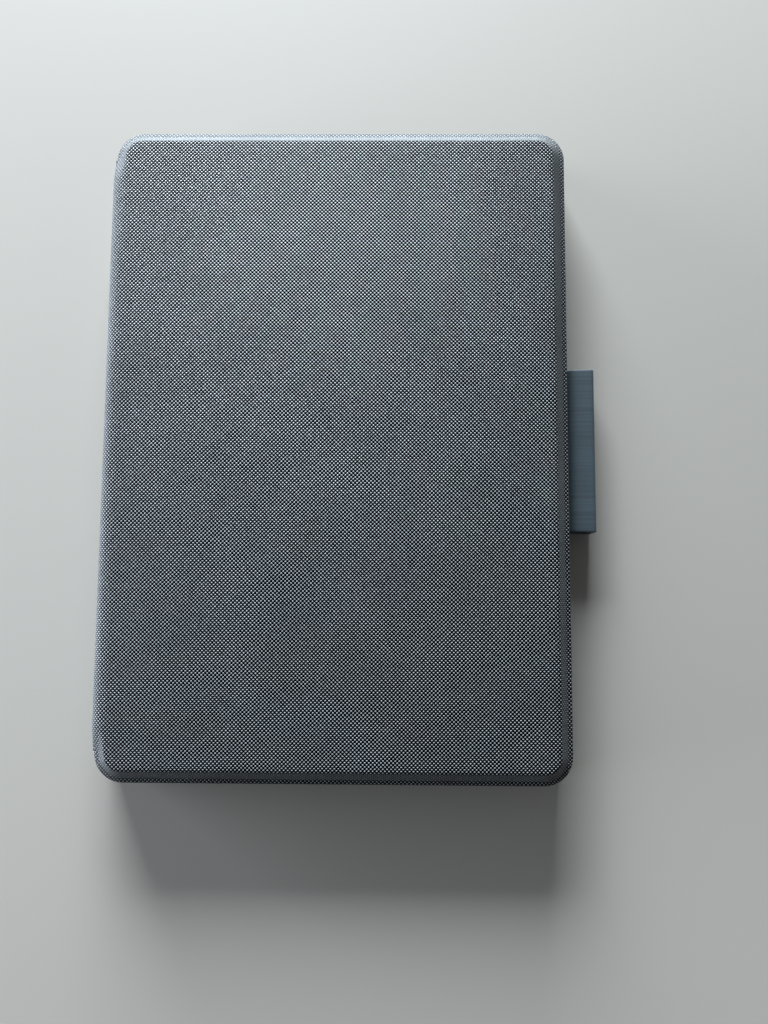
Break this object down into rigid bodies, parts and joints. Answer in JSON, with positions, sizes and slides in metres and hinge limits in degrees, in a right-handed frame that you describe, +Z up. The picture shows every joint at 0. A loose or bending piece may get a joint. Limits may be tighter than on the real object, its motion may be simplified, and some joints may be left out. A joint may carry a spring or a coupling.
{
  "type": "tablet keyboard folio case",
  "caption": "Fabric-covered book case for a tablet: soft tray below, wireless keyboard above, folding spine and a stylus loop on the free edge.",
  "frame": {"origin": "middle of the flat base face that the closed case lies on", "axes": "+X from the spine to the free edge with the stylus loop, +Y along the spine towards the camera corner, +Z up from the tablet half to the keyboard half"},
  "size_m": [0.1928, 0.256, 0.0215],
  "materials": {
    "outer_weave": "two-tone plain weave",
    "lining": "brushed microfibre",
    "stiffener": "sheet",
    "soft_tray": "fine matt moulding",
    "loop_elastomer": "smooth satin",
    "deck_plastic": "fine spark texture",
    "key_plastic": "satin",
    "link_plastic": "moulded",
    "silicone": "translucent",
    "switch_film": "film",
    "steel": "plated",
    "magnet": "nickel plated",
    "contact_metal": "spring bronze",
    "circuit_board": "solder mask",
    "flat_cable": "film",
    "light_pipe": "clear",
    "adhesive": "film",
    "ring_plastic": "polished",
    "grip_rubber": "ribbed"
  },
  "bodies": {
    "tablet_half": {"bottom_fabric": "outer_weave", "main_board": "stiffener", "stand_board": "stiffener", "bottom_lining": "lining", "tray_adhesive": "adhesive", "tablet_tray": "soft_tray", "tray_steel_strip": "steel", "camera_ring": "ring_plastic", "stylus_loop": "loop_elastomer"},
    "power_button": {"power_button": "soft_tray"},
    "volume_up_button": {"volume_up_button": "soft_tray"},
    "volume_down_button": {"volume_down_button": "soft_tray"},
    "spine": {"spine_fabric": "outer_weave", "spine_board": "stiffener", "spine_lining": "lining"},
    "keyboard_half": {"top_cover_fabric": "outer_weave", "top_cover_shell": "stiffener", "keyboard_chassis": "deck_plastic", "keyboard_deck": "deck_plastic", "key_frame": "deck_plastic", "key_backing_plate": "steel", "key_membrane": "switch_film", "controller_board": "circuit_board", "ribbon_cable": "flat_cable", "status_light": "light_pipe", "dock_grip_strip": "grip_rubber", "dock_magnets": "magnet", "closing_magnets": "magnet", "chassis_screws": "steel", "battery_contacts": "contact_metal", "scissors_function_row": "link_plastic", "scissors_number_row": "link_plastic", "scissors_upper_row": "link_plastic", "scissors_home_row": "link_plastic", "scissors_lower_row": "link_plastic", "scissors_modifier_row": "link_plastic", "scissors_space": "link_plastic", "domes_function_row": "silicone", "domes_number_row": "silicone", "domes_upper_row": "silicone", "domes_home_row": "silicone", "domes_lower_row": "silicone", "domes_modifier_row": "silicone", "domes_space": "silicone"},
    "battery_drawer": {"battery_drawer": "deck_plastic", "coin_cells": "steel"},
    "keys_function_row": {"keys_function_row": "key_plastic"},
    "keys_number_row": {"keys_number_row": "key_plastic"},
    "keys_upper_row": {"keys_upper_row": "key_plastic"},
    "keys_home_row": {"keys_home_row": "key_plastic"},
    "keys_lower_row": {"keys_lower_row": "key_plastic"},
    "keys_modifier_row": {"keys_modifier_row": "key_plastic"},
    "key_space": {"key_space": "key_plastic"}
  },
  "joints": [
    {"name": "spine_fold", "type": "hinge", "parent": "tablet_half", "child": "spine", "pos_m": [-0.0908, 0, 0.0012], "axis": [0, -1, 0], "range_deg": [0, 82.55]},
    {"name": "cover_fold", "type": "hinge", "parent": "spine", "child": "keyboard_half", "pos_m": [-0.0908, 0, 0.01815], "axis": [0, -1, 0], "range_deg": [0, 97.46]},
    {"name": "keys_function_row_press", "type": "slide", "parent": "keyboard_half", "child": "keys_function_row", "axis": [0, 0, 1], "range_m": [0, 0.0015], "stiffness_N_per_m": 400, "springref_m": -0.0005, "deforming": ["scissors_function_row", "domes_function_row"]},
    {"name": "keys_number_row_press", "type": "slide", "parent": "keyboard_half", "child": "keys_number_row", "axis": [0, 0, 1], "range_m": [0, 0.0015], "stiffness_N_per_m": 400, "springref_m": -0.0005, "deforming": ["scissors_number_row", "domes_number_row"]},
    {"name": "keys_upper_row_press", "type": "slide", "parent": "keyboard_half", "child": "keys_upper_row", "axis": [0, 0, 1], "range_m": [0, 0.0015], "stiffness_N_per_m": 400, "springref_m": -0.0005, "deforming": ["scissors_upper_row", "domes_upper_row"]},
    {"name": "keys_home_row_press", "type": "slide", "parent": "keyboard_half", "child": "keys_home_row", "axis": [0, 0, 1], "range_m": [0, 0.0015], "stiffness_N_per_m": 400, "springref_m": -0.0005, "deforming": ["scissors_home_row", "domes_home_row"]},
    {"name": "keys_lower_row_press", "type": "slide", "parent": "keyboard_half", "child": "keys_lower_row", "axis": [0, 0, 1], "range_m": [0, 0.0015], "stiffness_N_per_m": 400, "springref_m": -0.0005, "deforming": ["scissors_lower_row", "domes_lower_row"]},
    {"name": "keys_modifier_row_press", "type": "slide", "parent": "keyboard_half", "child": "keys_modifier_row", "axis": [0, 0, 1], "range_m": [0, 0.0015], "stiffness_N_per_m": 400, "springref_m": -0.0005, "deforming": ["scissors_modifier_row", "domes_modifier_row"]},
    {"name": "key_space_press", "type": "slide", "parent": "keyboard_half", "child": "key_space", "axis": [0, 0, 1], "range_m": [0, 0.0015], "stiffness_N_per_m": 400, "springref_m": -0.0005, "deforming": ["scissors_space", "domes_space"]},
    {"name": "battery_drawer_slide", "type": "slide", "parent": "keyboard_half", "child": "battery_drawer", "axis": [0, -1, 0], "range_m": [0, 0.046]},
    {"name": "power_button_press", "type": "slide", "parent": "tablet_half", "child": "power_button", "axis": [0, -1, 0], "range_m": [0, 0.0004], "stiffness_N_per_m": 800},
    {"name": "volume_up_button_press", "type": "slide", "parent": "tablet_half", "child": "volume_up_button", "axis": [-1, 0, 0], "range_m": [0, 0.0004], "stiffness_N_per_m": 800},
    {"name": "volume_down_button_press", "type": "slide", "parent": "tablet_half", "child": "volume_down_button", "axis": [-1, 0, 0], "range_m": [0, 0.0004], "stiffness_N_per_m": 800}
  ],
  "couplings": [
    {"joint": "spine_fold", "follows": "cover_fold", "ratio": 0.84696}
  ]
}
